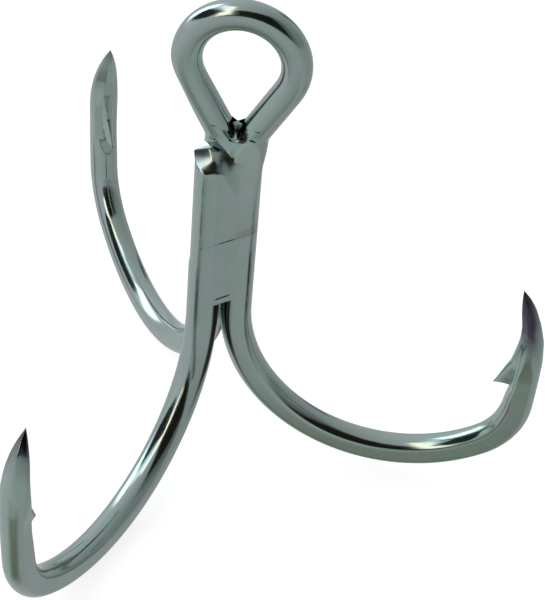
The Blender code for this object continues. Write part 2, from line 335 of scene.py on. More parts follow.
def rounded_kinks(line):
    """The line with its places averaged over a short length, weighted as a bell, except near its ends."""
    along = lengths_along(line["at"])
    even = resampled(line, np.arange(0.0, along[-1], DENSE))
    reach = math.ceil(3 * KINK / DENSE)
    weights = np.exp(-0.5 * (np.arange(-reach, reach + 1) * DENSE / KINK) ** 2)
    weights /= weights.sum()
    padded = np.pad(even["at"], ((reach, reach), (0, 0)), mode="edge")
    smooth = np.stack([np.convolve(column, weights, mode="valid") for column in padded.T], axis=1)
    share = eased(*KINK_STARTS, even["tip"])[:, None]
    even["at"] = even["at"] * (1 - share) + smooth * share
    return even


def bend_plane(size):
    """Points (reach, height) from the foot of the shank round to the tip, and the heading at each."""
    points = [np.zeros((1, 2))]
    headings = [np.array((-math.pi / 2,))]
    for radius, degrees in BEND:
        start = headings[-1][-1]
        count = math.ceil(radius * size * math.radians(degrees) / DENSE)
        heading = start + math.radians(degrees) * np.arange(1, count + 1) / count
        centre = points[-1][-1] + radius * size * np.array((-math.sin(start), math.cos(start)))
        points.append(centre + radius * size * np.stack((np.sin(heading), -np.cos(heading)), axis=1))
        headings.append(heading)
    return np.concatenate(points), np.concatenate(headings)


def point_form(distance):
    """This far from the tip: half the wire's height and breadth, and its middle's move to the inner side."""
    spread = np.minimum(POINT_BLEND, distance)
    inner = smooth_read(distance, POINT_AT, POINT_INNER, spread)
    outer = smooth_read(distance, POINT_AT, POINT_OUTER, spread)
    along = np.clip(1.0 - distance / POINT_LENGTH, 0.0, 1.0)
    breadth = np.maximum(TIP_BREADTH, 1.0 - along**POINT_FULLNESS)
    return RADIUS * (inner + outer) / 2, RADIUS * breadth, RADIUS * (inner - outer) / 2


def hook_line(hook):
    """From the foot of the hook's shank round its bend to its tip."""
    form = HOOKS[hook]
    plane, headings = bend_plane(form["size"])
    along = lengths_along(plane)
    tip = along[-1] - along
    radius, breadth, shift = point_form(tip)
    inner_plane = np.stack((-np.sin(headings), np.cos(headings)), axis=1)
    plane = plane + inner_plane * shift[:, None]
    outward = direction(form["azimuth"])
    foot = seat(hook) + UP * (SPLIT + form["rise"])
    at = foot + plane[:, :1] * outward + plane[:, 1:] * UP
    inner = inner_plane[:, :1] * outward + inner_plane[:, 1:] * UP
    bent = headings + math.pi / 2
    line = make_line(at, radius, inner, tip, hook_presses(hook, bent, tip))
    line["breadth"] = breadth
    return line


def hook_presses(hook, bent, tip):
    """The flats that the forging die left on both sides of the bend."""
    form = HOOKS[hook]
    side = (form["azimuth"] + FORGED_SIDE[hook]) % 360
    turn = eased(0.0, FLAT_TURN, bent)
    start, face_start = (side, NO_FLAT) if hook == "rear" else (FLAT_AZIMUTH, SHANK_FLAT)
    ways = directions(np.radians(blend(start, side, turn)))
    gone = 1.0 - eased(*FLAT_ENDS, tip)
    forged = blend(*FORGED[hook], eased(*FORGED_TURN, bent))
    face = blend(blend(face_start, forged, turn), NO_FLAT, gone)
    back = blend(blend(NO_FLAT, forged, turn), NO_FLAT, gone)
    return {"face": (ways, face), "back": (-direction(side), back)}


def bend_length(hook):
    return lengths_along(bend_plane(HOOKS[hook]["size"])[0])[-1]


def shank_line(hook, top):
    """Up the straight shank, from its foot to this height."""
    bottom = SPLIT + HOOKS[hook]["rise"]
    heights = np.linspace(bottom, top, math.ceil((top - bottom) / DENSE))
    foot = seat(hook) + UP * bottom
    at = seat(hook) + heights[:, None] * UP
    presses = {}
    if hook != "rear":
        presses["face"] = (FLAT_OUT, SHANK_FLAT)
    tip = bend_length(hook) + np.linalg.norm(at - foot, axis=1)
    line = make_line(at, RADIUS, direction(HOOKS[hook]["azimuth"]), tip, presses)
    line["tipward"] *= -1
    return line


def neck_places(share):
    """Half the way from the left wire to the right one in the neck, the way across, and the wire's radius."""
    foot = seat("right") - seat("rear")
    turn = eased(0.0, 1.0, share)
    angle = math.atan2(foot[1], foot[0]) * (1.0 - turn)
    half = np.linalg.norm(foot) / 2 * (1.0 - turn) + RADIUS * turn
    radius = RADIUS * (1.0 - turn + EYE_WIRE * turn)
    return half, directions(angle), radius


def neck_line(side):
    """From the straight shank up to the eye's legs, where the pair has turned into the plane of the eye."""
    share = np.linspace(0.0, 1.0, math.ceil((NECK_TOP - TWIST_FOOT) / DENSE))
    half, pair, radius = neck_places(share)
    heights = blend(TWIST_FOOT, NECK_TOP, share)
    at = side * half[:, None] * pair + heights[:, None] * UP
    hook = "right" if side > 0 else "rear"
    outward = 0.0 if side > 0 else 180.0
    inner = directions(np.radians(blend(HOOKS[hook]["azimuth"], outward, share)))
    presses = {}
    if side > 0:
        sunk = (at - FLAT_MIDDLE) @ FLAT_OUT
        presses["face"] = (FLAT_OUT, (SHANK_FLAT * RADIUS - sunk) / radius)
    return make_line(at, radius, inner, FAR, presses)


def eye_line():
    """The loop, from the top of the right leg over to the top of the left one."""
    leg = np.array((RADIUS, NECK_TOP))
    first = math.atan2(leg[1], leg[0]) + math.acos(EYE_RADIUS / np.linalg.norm(leg))
    angles = np.linspace(first, math.pi - first, math.ceil(EYE_RADIUS * (math.pi - 2 * first) / DENSE))
    loop = EYE_RADIUS * np.stack((np.cos(angles), np.zeros(len(angles)), np.sin(angles)), axis=1)
    loop = np.concatenate((((RADIUS, 0.0, NECK_TOP),), loop, ((-RADIUS, 0.0, NECK_TOP),)))
    along = lengths_along(loop)
    at = np.concatenate((read_columns(np.arange(0.0, along[-1], DENSE), along, loop), loop[-1:]))
    inner = unit(at * (RIGHT + UP) + EYE_RING_DROP * UP)
    share = np.linspace(0.0, 1.0, len(at))[:, None]
    start = eased(EYE_END, 0.0, share)
    inner = unit(inner * (1 - start) + RIGHT * start)
    end = eased(1.0 - EYE_END, 1.0, share)
    inner = unit(inner * (1 - end) - RIGHT * end)
    from_ends = 0.5 - abs(share[:, 0] - 0.5)
    flat = blend(NO_FLAT, EYE_FLAT, eased(0.0, EYE_FLAT_RUN_IN, from_ends))
    presses = {"front_of_eye": (-BACK, flat), "back_of_eye": (BACK, flat)}
    return make_line(at, RADIUS * EYE_WIRE, inner, FAR, presses)


def double_hook_line():
    line = joined([
        turned_round(hook_line("right")),
        shank_line("right", TWIST_FOOT),
        neck_line(1),
        eye_line(),
        turned_round(neck_line(-1)),
        turned_round(shank_line("rear", TWIST_FOOT)),
        hook_line("rear"),
    ])
    return rounded_kinks(line)


def single_hook_line():
    return joined([turned_round(shank_line("front", CUT_END + NIPPED_SPARE)), hook_line("front")])


# ---- From a line to a wire ----


def stations(line):
    """How far along the rings lie: closer at the barbs, the tips, the step in the flat and the cut end."""
    along = lengths_along(line["at"])
    height = line["at"][:, 2]
    fine = (line["tip"] < FINE_TIP) | (abs(height - STEP_HEIGHT) < FINE_STEP)
    fine |= (height > FINE_CUT[0]) & (height < FINE_CUT[1])
    step = np.where(fine, FINE_SPACING, RING_SPACING)
    counted = np.concatenate(((0.0,), np.cumsum(np.diff(along) / step[1:])))
    places = np.interp(np.arange(0.0, counted[-1]), counted, along)
    places = np.concatenate((places[:-1], along[-1:]))
    for distance in (BARB_AT[-1], BARB_AT[-1] + BARB_FOOT):
        for crossed in np.flatnonzero(np.diff(np.sign(line["tip"] - distance))):
            places = places[abs(places - along[crossed]) > 0.4 * FINE_SPACING]
            places = np.append(places, along[crossed])
    return np.sort(places)


def wire_rings(line):
    """Rings of points round the line, the line's own rows for them, and how each point was formed."""
    line = resampled(line, stations(line))
    along = lengths_along(line["at"])
    way = unit(np.gradient(line["at"], along, axis=0))
    inner = unit(line["inner"] - (line["inner"] * way).sum(1)[:, None] * way)
    side = np.cross(way, inner)
    turns = np.linspace(0.0, 2 * math.pi, RING_POINTS, endpoint=False)
    gather = GATHER * (eased(*GATHER_STARTS, line["tip"]) - eased(*GATHER_ENDS, line["tip"]))
    turns = turns[None, :] - gather[:, None] * np.sin(turns)[None, :]
    high, wide = ground(line, np.cos(turns), np.sin(turns))
    offsets = (high * line["radius"][:, None])[..., None] * inner[:, None]
    offsets = offsets + (wide * line["breadth"][:, None])[..., None] * side[:, None]
    straightened = (along[:, None], RADIUS * np.cos(turns), RADIUS * np.sin(turns))
    grain = np.stack(np.broadcast_arrays(*straightened), axis=-1)
    offsets, worked, edge = press_flats(line, offsets)
    rings = line["at"][:, None] + raise_barbs(line, offsets, inner, side, way)
    return rings, line, {"grain": grain, "worked": worked, "edge": edge}


def press(offsets, way, limit, softness):
    over = soft_over((offsets * way).sum(-1), limit, softness)
    return offsets - over[..., None] * way, over


def press_flats(line, offsets):
    """The offsets with their flats, how far each point was pressed, and the edges of the flats' faces."""
    worked = np.zeros(offsets.shape[:2])
    edge = np.zeros(offsets.shape[:2])
    for name in PRESSES:
        way = line[name][:, None]
        limit = line[name + "_limit"][:, None] * line["breadth"][:, None]
        if name == "face":
            limit = limit + die_step(line["at"][:, None] + offsets)
        edge_width = EYE_EDGE if name.endswith("eye") else EDGE
        softness = np.maximum(edge_width * line["radius"][:, None] / RADIUS, 1e-6)
        offsets, over = press(offsets, way, limit, softness)
        worked = np.maximum(worked, np.clip(over / WORKED_DEPTH, 0.0, 1.0))
        if name == "face":
            edge = np.clip(1.0 - abs(over / EDGE_LINE - 1.0), 0.0, 1.0)
    return offsets, worked, edge


def ground(line, high, wide):
    """A round section of radius 1 with four facets near the tip, and ridges between them."""
    deep = blend(GROUND, NO_FLAT, eased(*GROUND_LENGTH, line["tip"]))[:, None]
    slant = math.sqrt(0.5)
    for inward, across in ((slant, slant), (slant, -slant), (-slant, slant), (-slant, -slant)):
        over = soft_over(inward * high + across * wide, deep, GROUND_EDGE)
        high = high - over * inward
        wide = wide - over * across
    return high, wide


def raise_barbs(line, offsets, inner, side, way):
    """The barb stands on the inner side of the wire, and the cut that raised it lies beyond its tip."""
    tip = line["tip"]
    past = tip > BARB_AT[-1] + 0.5 * BARB_FOOT
    cut = SCOOP_DEPTH * (1.0 - eased(BARB_AT[-1], SCOOP_END, tip)) * past
    limit = line["radius"] * (1.0 + SCOOP_SPARE) - cut - SCOOP_SPARE * RADIUS
    offsets, _ = press(offsets, inner[:, None], limit[:, None], SCOOP_EDGE)
    height = np.interp(tip, BARB_AT, BARB_HEIGHT, left=0.0, right=0.0)
    height[past] = 0.0
    half = np.interp(tip, BARB_AT[[0, -1]], BARB_HALF_WIDTH)
    lateral = (offsets * side[:, None]).sum(-1) / half[:, None]
    inward = (offsets * inner[:, None]).sum(-1) > 0
    share = np.where(inward, np.clip(1.0 - lateral**2, 0.0, 1.0) ** BARB_FULLNESS, 0.0)
    lift = height[:, None] * share
    back = -line["tipward"][:, None] * way
    lean = BARB_LEAN * eased(*BARB_LEANS, lift)
    return offsets + lift[..., None] * inner[:, None] + (lift * lean)[..., None] * back[:, None]


def flat_places(points):
    """How far across the shank's flat, how high, and how far above the die's edge these points are."""
    across = (points - FLAT_MIDDLE) @ FLAT_ACROSS
    height = points[..., 2]
    return across, height, height - STEP_HEIGHT - STEP_SLOPE * across


def die_step(points):
    """How much farther out the shank's flat lies above the die's edge and below the neck, with its cracks."""
    across, height, beyond = flat_places(points)
    rise = STEP_RISE * eased(-STEP_WIDTH, STEP_WIDTH, beyond)
    return rise - recess(across, height) - cracks(across, height, beyond)


def recess(across, height):
    """How far the flat has drawn back towards the front of the eye's legs."""
    leg_level = (across * FLAT_ACROSS[1] + FLAT_MIDDLE[1] + EYE_WIRE * RADIUS) / -FLAT_OUT[1] + RECESS_CLEAR
    foot = smooth_read(across, RECESS_ACROSS, RECESS_FOOT, RECESS_BLEND)
    top = smooth_read(across, RECESS_ACROSS, RECESS_TOP, RECESS_BLEND)
    along = (height - foot) / (top - foot)
    share = soft_over(along, 0.0, RECESS_SOFTNESS) - soft_over(along, 1.0, RECESS_SOFTNESS)
    return (SHANK_FLAT * RADIUS - leg_level) * share


def trench(apart, width):
    """1 in the middle of a crack, falling to nearly 0 at twice its width."""
    return np.exp(-((apart / width) ** 2))


def cracks(across, height, beyond):
    """The depths of the long crack, the short one and the lines at the flat's edges."""
    return long_crack(across, beyond) + short_crack(across, height) + edge_lines(across, height)


def long_crack(across, beyond):
    left, right = LONG_CRACK_FAINT
    deep = blend(left, 1, eased(*LONG_CRACK_DEEPENS, across))
    deep = deep * (1 - right * eased(*LONG_CRACK_FADES, across)) * eased(*LONG_CRACK_STARTS, across)
    return LONG_CRACK_DEPTH * deep * trench(beyond + LONG_CRACK_BELOW, LONG_CRACK_WIDTH)


def short_crack(across, height):
    apart = height - SHORT_CRACK_HEIGHT - SHORT_CRACK_SLOPE * across
    deep = SHORT_CRACK_DEPTH * trench(apart, SHORT_CRACK_WIDTH)
    return deep * eased(*SHORT_CRACK_ENDS, abs(across))


def edge_lines(across, height):
    """Broken lines, which end short of the neck and fade out below the split."""
    deep = FLAT_EDGE_DEPTH * trench(abs(across) - FLAT_EDGE, FLAT_EDGE_WIDTH)
    top = np.where(across < 0, *FLAT_EDGE_TOPS)
    deep = deep * eased(0.0, FLAT_EDGE_FADE, top - height) * eased(*FLAT_EDGE_FOOT, height)
    waves = [share * np.sin(height / length) for share, length in FLAT_EDGE_WAVES]
    return deep * sum(waves, FLAT_EDGE_STEADY)


def swollen(rings, line):
    """The single hook's shank, pushed to the left where the die pressed it hardest."""
    across = (rings - line["at"][:, None]) @ FLAT_ACROSS
    share = eased(SWELL_HEIGHT + SWELL_BLEND, SWELL_HEIGHT - SWELL_BLEND, rings[..., 2])
    above_bend = line["tip"][:, None] - bend_length("front")
    share = share * eased(-SWELL_END, 0.0, above_bend)
    return rings + (SWELL * np.minimum(across, 0.0) * share)[..., None] * FLAT_ACROSS


# ---- Meshes ----

SHARP = 38.0  # degrees between two faces, past which the edge between them is sharp


def loft(name, rings, marks, material, node):
    """A closed skin over the rings, with each end shut by a fan."""
    count = rings.shape[1]
    first = np.arange(count)
    after = np.roll(first, -1)
    starts = np.arange(len(rings) - 1)[:, None] * count
    corners = (starts + first, starts + after, starts + count + after, starts + count + first)
    faces = np.stack(corners, axis=-1).reshape(-1, 4).tolist()
    last = (len(rings) - 1) * count
    points = np.concatenate((rings.reshape(-1, 3), (rings[0].mean(0), rings[-1].mean(0))))
    for start, centre in ((0, len(points) - 2), (last, len(points) - 1)):
        faces += [(start + a, start + b, centre) for a, b in zip(first, after)]
    mesh = bpy.data.meshes.new(name)
    mesh.from_pydata(points.tolist(), [], faces)
    model = bmesh.new()
    model.from_mesh(mesh)
    bmesh.ops.recalc_face_normals(model, faces=model.faces)
    if model.calc_volume(signed=True) < 0:
        bmesh.ops.reverse_faces(model, faces=model.faces)
    model.to_mesh(mesh)
    model.free()
    for key, values in marks.items():
        add_attribute(mesh, key, values, rings.shape[:2])
    place(name, mesh, material, node)


def add_attribute(mesh, name, values, shape):
    """A value or a vector for each point, where an end's centre takes the mean of its ring."""
    values = np.broadcast_to(values, shape + np.shape(values)[2:])
    ends = np.stack((values[0].mean(0), values[-1].mean(0)))
    flat = np.concatenate((values.reshape((-1,) + values.shape[2:]), ends)).astype(np.float32)
    kind, key = ("FLOAT_VECTOR", "vector") if flat.ndim == 2 else ("FLOAT", "value")
    attribute = mesh.attributes.new(name, kind, "POINT")
    attribute.data.foreach_set(key, flat.ravel())


def added(name, data):
    piece = bpy.data.objects.new(name, data)
    bpy.context.scene.collection.objects.link(piece)
    return piece


def place(name, mesh, material, node):
    mesh.materials.append(material)
    mesh.shade_smooth()
    mesh.set_sharp_from_angle(angle=math.radians(SHARP))
    piece = added(name, mesh)
    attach(piece, BODY)
    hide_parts(node)


def build_double_hook(material):
    rings, line, form = wire_rings(double_hook_line())
    marks = wire_marks(rings, line, form)
    loft("double_hook_wire", rings, marks, material, "double_hook")


def build_single_hook(material):
    rings, line, form = wire_rings(single_hook_line())
    rings = swollen(rings, line)
    rings, marks = nipped_end(rings, wire_marks(rings, line, form))
    loft("single_hook_wire", rings, marks, material, "single_hook")


def nipped_surface(points):
    """The height of the single hook's cut end over these points."""
    from_middle = points - seat("front")
    faces = [height - slope * (from_middle @ direction(azimuth)) for azimuth, slope, height in NIPPED_FACES]
    return CUT_END + np.minimum.reduce(faces)


def nipped_end(rings, marks):
    """The first rings drawn down to the cut surface, with rings across it in front of them."""
    heights = rings[..., 2]
    share = np.clip((heights - NIPPED_FOOT) / (heights[0].max() - NIPPED_FOOT), 0.0, 1.0)
    drawn = NIPPED_FOOT + (nipped_surface(rings) - NIPPED_FOOT) * share
    near = (np.arange(len(rings)) < NIPPED_RINGS)[:, None] & (heights > NIPPED_FOOT)
    rings[..., 2] = np.where(near, drawn, heights)
    middle = seat("front")
    lids = []
    for fraction in NIPPED_LIDS:
        lid = middle + (rings[0] - middle) * np.array((fraction, fraction, 0.0))
        lid[:, 2] = nipped_surface(lid)
        lids.append(lid)
    rings[0, :, 2] -= NIPPED_EDGE
    for name, values in marks.items():
        marks[name] = np.concatenate((np.repeat(values[:1], len(lids), axis=0), values))
    return np.concatenate((np.array(lids), rings)), marks


# ---- Marks on the plating ----
# Every mesh carries five: "grain", the places that its draw lines follow, and, from 0 up, how much it was
# "worked" by the die, how "violet" and "brown" it is, and how much painted shade it takes, darkest in its
# cracks, in the hollow under the eye and at the flats' edges.

NO_MARKS = {"worked": 0.0, "violet": 0.0, "brown": 0.0, "painted_shade": 0.0}

# The violet at each point: its length and its depth. It stays on its own hook, which is what lies past
# HOOK_ZONE from the shank's middle, and it is weak on the outer side.
VIOLET = {"right": (3.2 * WIRE, 1.25), "rear": (0.7 * WIRE, 0.5), "front": (1.9 * WIRE, 0.85)}
HOOK_ZONE = wires(0.5, 3.0)
VIOLET_SIDE = (-0.7, -0.1)
VIOLET_OUTSIDE = 0.2

BROWN = 0.5  # the brown above the die's edge
BROWN_ABOVE = 0.12 * WIRE
BROWN_WIDTH = 0.2 * WIRE
BROWN_ACROSS = (0.0, 0.6 * WIRE)
CRACK_SHADE_FULL = 0.03 * WIRE  # a crack this deep gets the darkest painted shade

# The painted shade in the hollow under the eye and the unshaded sliver in it, to the right of and above the
# origin in wire diameters.
PIT_MIDDLE = (0.09, -2.2)
PIT_HALF = (0.26, 0.37)
PIT_EDGE = (1.1, 0.9)
PIT_LEAN = 0.35
SLIVER_MIDDLE = (0.21, -1.95)
SLIVER_HALF = 0.05
SLIVER_LEAN = 0.77
SLIVER_FOOT = (-2.13, -2.03)

# The painted shade lines at the flats' edges, by distance from the tip, and the painted shade on the split's
# inner cheeks, by how far they are from a wire's middle towards the other wire, against RADIUS.
EDGE_SHADE_DEPTH = 0.8
BEND_LINE = (wires(3.5, 5.0), wires(12.0, 9.0))
SPLIT_LINE = (wires(15.3, 17.6), wires(22.0, 20.5))
CHEEK_START = (0.47, 0.54)
CHEEK_REACH = (0.6, 0.85)
CHEEK_BLEND = 0.08
CHEEK_GROWS = wires(16.0, 19.5)


def pit_shade(points):
    """Painted shade: 1 in the hollow under the foot of the eye, apart from the sliver."""
    right, up = points[..., 0] / WIRE, points[..., 2] / WIRE
    from_pit = up - PIT_MIDDLE[1]
    far = np.hypot((right - PIT_MIDDLE[0] + PIT_LEAN * from_pit) / PIT_HALF[0], from_pit / PIT_HALF[1])
    aside = right - SLIVER_MIDDLE[0] + SLIVER_LEAN * (up - SLIVER_MIDDLE[1])
    sliver = np.exp(-((aside / SLIVER_HALF) ** 4)) * eased(*SLIVER_FOOT, up)
    return eased(*PIT_EDGE, far) * (points[..., 1] < 0) * (1 - sliver)


def front_stains_and_shade(points):
    """The brown above the die's edge, and the painted shade in the cracks and in the hollow under the eye."""
    across, height, beyond = flat_places(points)
    in_front = points[..., 1] < 0
    brown = BROWN * trench(beyond - BROWN_ABOVE, BROWN_WIDTH) * eased(*BROWN_ACROSS, across) * in_front
    painted_shade = cracks(across, height, beyond) / CRACK_SHADE_FULL * in_front + pit_shade(points)
    return {"brown": brown, "painted_shade": painted_shade}


def violet_stains(rings, tip, inward):
    """The violet at the points, full up to a quarter of its length from the tip."""
    violet = np.zeros(rings.shape[:2])
    for hook, (length, depth) in VIOLET.items():
        own = eased(*HOOK_ZONE, rings @ direction(HOOKS[hook]["azimuth"]))
        violet = violet + depth * own * eased(length, 0.25 * length, tip)
    return violet * blend(VIOLET_OUTSIDE, 1, eased(*VIOLET_SIDE, inward))


def between(ends, value):
    """1 past the first end and before the second, with a smooth turn at both."""
    first, second = ends
    return eased(*first, value) * eased(*second, value)


def flat_edge_shade(line, offsets, inward, edge):
    """Painted shade: dark lines at the flats' edges by the split and inside the bends, and on the split's
    inner cheeks.
    """
    tip = line["tip"][:, None]
    wire_side = np.sign((line["at"] - FLAT_MIDDLE) @ FLAT_ACROSS)[:, None]
    towards = -wire_side * (offsets @ FLAT_ACROSS) / RADIUS
    reach = blend(*CHEEK_REACH, eased(*CHEEK_GROWS, tip))
    cheek = between((CHEEK_START, (reach + CHEEK_BLEND, reach)), towards) * (offsets @ FLAT_OUT > 0)
    edge = EDGE_SHADE_DEPTH * edge
    by_split = between(SPLIT_LINE, tip) * np.where(towards > 0, cheek, edge)
    return by_split + between(BEND_LINE, tip) * edge * inward


def wire_marks(rings, line, form):
    """The front's stains and painted shade, with violet at the points and painted shade lines at the flats'
    edges.
    """
    offsets = rings - line["at"][:, None]
    inward = (offsets * line["inner"][:, None]).sum(-1) / RADIUS
    marks = {"grain": form["grain"], "worked": form["worked"], **front_stains_and_shade(rings)}
    marks["violet"] = violet_stains(rings, line["tip"][:, None], inward)
    marks["painted_shade"] = marks["painted_shade"] + flat_edge_shade(line, offsets, inward > 0, form["edge"])
    return marks


# ---- Braze ----

RUN_BACK_WIDTH = 0.7  # against its face's

FRONT_RUN_TOP = -2.72 * WIRE
FRONT_RUN_FOOT = SPLIT - 0.1 * WIRE
FRONT_RUN_HALF = 0.34 * WIRE
FRONT_RUN_BOW = wires(0.0012, 0.32)  # how far its middle stands out, and half the width of that
FRONT_RUN_WIDENS = (TWIST_FOOT, -3.15 * WIRE)
FRONT_RUN_WIDENING = 0.2 * WIRE  # to the right, where it also lies lower and reaches farther back
FRONT_RUN_LOWER = 0.008 * WIRE
FRONT_RUN_BACK = (-0.12, -0.43)  # its back, against WIRE, and what the widening adds
FRONT_RUN_DIVE = wires(0.1, 0.7)  # how far its top goes in, and the length of that
SPLIT_MIDDLE = -8.52 * WIRE
SPLIT_SLOPE = 0.35
SPLIT_LENGTH = 0.45 * WIRE
SPLIT_DEPTH = 0.46 * WIRE
SPLIT_BOW = 0.3

SIDE_RUN_TOP = TWIST_FOOT + 0.25 * WIRE
SIDE_RUN_FOOT = SPLIT - 0.2 * WIRE
SIDE_RUN_HALF = 0.3 * WIRE
SIDE_RUN_LEVEL = 0.4 * WIRE
SIDE_RUN_HOLLOW = 0.1 * WIRE
SIDE_RUN_WAVES = (wires(0.012, 1.1), wires(0.008, 0.37))  # heights and lengths
SIDE_RUN_BACK = -0.1 * WIRE
SIDE_RUN_ENDS = wires(0.6, 0.8)
SIDE_RUN_DIVE = 0.42 * WIRE

CORE_RADIUS = wires(0.06, 0.12)  # at its ends, and what its middle adds
CORE_END = 0.25 * WIRE
CORE_SPARE = 1e-6

CROTCH_TOP = -2.1 * WIRE
CROTCH_FOOT = -3.7 * WIRE
HOLLOW_FOOT = -2.58 * WIRE
EYE_LEG_LEAN = math.tan(math.radians(28.9))
LEG_STRAIGHTENS = wires(-3.55, -2.95)
CROTCH_THIN = 0.8  # its radius at its foot, against that above CROTCH_FULL
CROTCH_FULL = -3.0 * WIRE
CROTCH_CLEAR = 0.003 * WIRE
CROTCH_WAIST = wires(0.012, 0.3)  # how much thinner it is at NECK_TOP, and over what length
CROTCH_CAP = wires(0.02, 0.4)  # how much thinner its sides are above NECK_TOP, and their run-in
CROTCH_CAP_ARC = (8, 172)
CROTCH_LIMIT = 0.014 * WIRE
HOLLOW_START = 0.6  # between these shares of its width, the web's front starts this far down its depth
HOLLOW_ACROSS = ((0.22, 0.42), (1.05, 0.85))


def ends_share(heights, top, bottom, top_length, bottom_length):
    """1 in the middle of a run of braze, falling to 0 at its ends."""
    return eased(0.0, top_length, top - heights) * eased(0.0, bottom_length, heights - bottom)


def run_rings(first, second, heights, columns, faces, back):
    """Rings up a run of braze: its outer face, at these places across and levels, and a straight back."""
    middle, across, outward = groove(first, second)
    front = middle + columns[..., None] * across + faces[..., None] * outward
    rear = middle + (RUN_BACK_WIDTH * columns[:, ::-1])[..., None] * across
    rear = rear + back[:, None, None] * outward
    rings = np.concatenate((front, rear), axis=1)
    return rings + heights[:, None, None] * UP


def build_front_run(material):
    """Flush with the flat, drawn in at the split, and wider in the neck, up to the foot of the eye."""
    heights = np.linspace(FRONT_RUN_TOP, FRONT_RUN_FOOT, 320)[:, None]
    wide = eased(*FRONT_RUN_WIDENS, heights)
    width = 2 * FRONT_RUN_HALF + FRONT_RUN_WIDENING * wide
    columns = width * np.linspace(0.0, 1.0, 49)[None, :] - FRONT_RUN_HALF
    middle = FLAT_MIDDLE + columns[..., None] * FLAT_ACROSS + heights[..., None] * UP
    bow, bow_half = FRONT_RUN_BOW
    level = SHANK_FLAT * RADIUS + bow * (1 - (columns / bow_half) ** 2)
    level = level + die_step(middle) - FRONT_RUN_LOWER * wide
    dive, dive_length = FRONT_RUN_DIVE
    level = level - dive * eased(FRONT_RUN_TOP - dive_length, FRONT_RUN_TOP, heights) ** 2
    foot = eased(0.0, SPLIT_LENGTH, SPLIT_MIDDLE + SPLIT_SLOPE * columns - heights)
    level = level - SPLIT_DEPTH * foot * (1 - SPLIT_BOW * (columns / FRONT_RUN_HALF) ** 2)
    back, farther_back = FRONT_RUN_BACK
    back = (back + farther_back * wide[:, 0]) * WIRE
    rings = run_rings("front", "right", heights[:, 0], columns, level, back)
    marks = {"grain": rings, **NO_MARKS, "worked": 1.0, **front_stains_and_shade(rings)}
    loft("front_braze", rings, marks, material, "front_braze_run")


def build_side_run(name, node, first, second, material):
    """A hollow fillet between two round wires."""
    heights = np.linspace(SIDE_RUN_TOP, SIDE_RUN_FOOT, 160)
    columns = np.linspace(-1.0, 1.0, 21)
    hollow = SIDE_RUN_HOLLOW + sum(high * np.sin(heights / length) for high, length in SIDE_RUN_WAVES)
    level = SIDE_RUN_LEVEL - hollow[:, None] * (1 - columns**2)[None, :]
    whole = ends_share(heights, SIDE_RUN_TOP, SIDE_RUN_FOOT, *SIDE_RUN_ENDS)
    level = level - SIDE_RUN_DIVE * (1 - whole)[:, None]
    columns = np.broadcast_to(SIDE_RUN_HALF * columns, level.shape)
    back = np.full(len(heights), SIDE_RUN_BACK)
    rings = run_rings(first, second, heights, columns, level, back)
    loft(name, rings, {"grain": rings, **NO_MARKS}, material, node)


def build_core_run(material):
    """What fills the middle of the three wires, rounded over at both ends."""
    heights = np.linspace(TWIST_FOOT, SPLIT, 60)
    turns = np.linspace(0.0, 2 * math.pi, 36, endpoint=False)
    whole = ends_share(heights, TWIST_FOOT + CORE_SPARE, SPLIT - CORE_SPARE, CORE_END, CORE_END)
    least, more = CORE_RADIUS
    size = least + more * np.sqrt(whole)
    rings = BUNDLE + size[:, None, None] * directions(turns) + heights[:, None, None] * UP
    marks = {"grain": rings, **NO_MARKS, "brown": 1.0}
    loft("core_braze", rings, marks, material, "core_braze_run")


def arc_row(centres, ways, sides, radius):
    """Points on arcs round these centres, where 0 degrees is each one's way and 90 its side."""
    angles = np.radians(np.linspace(*CROTCH_CAP_ARC, 17))[None, :, None]
    spokes = np.cos(angles) * ways[:, None] + np.sin(angles) * sides[:, None]
    return centres[:, None] + radius[:, None, None] * spokes


def neck_legs(heights):
    """The middles of the neck's left and right legs. The left one runs straight down to the nipped end."""
    share = np.clip((heights - TWIST_FOOT) / (NECK_TOP - TWIST_FOOT), 0.0, 1.0)
    half, pair, _ = neck_places(share)
    leg = np.maximum(heights - NECK_TOP, 0.0) * EYE_LEG_LEAN
    right = (half + leg)[:, None] * pair
    straight = eased(*LEG_STRAIGHTENS, heights)[:, None]
    left = -right * (1 - straight)
    left[:, 0] -= (RADIUS + leg) * straight[:, 0]
    return left, right


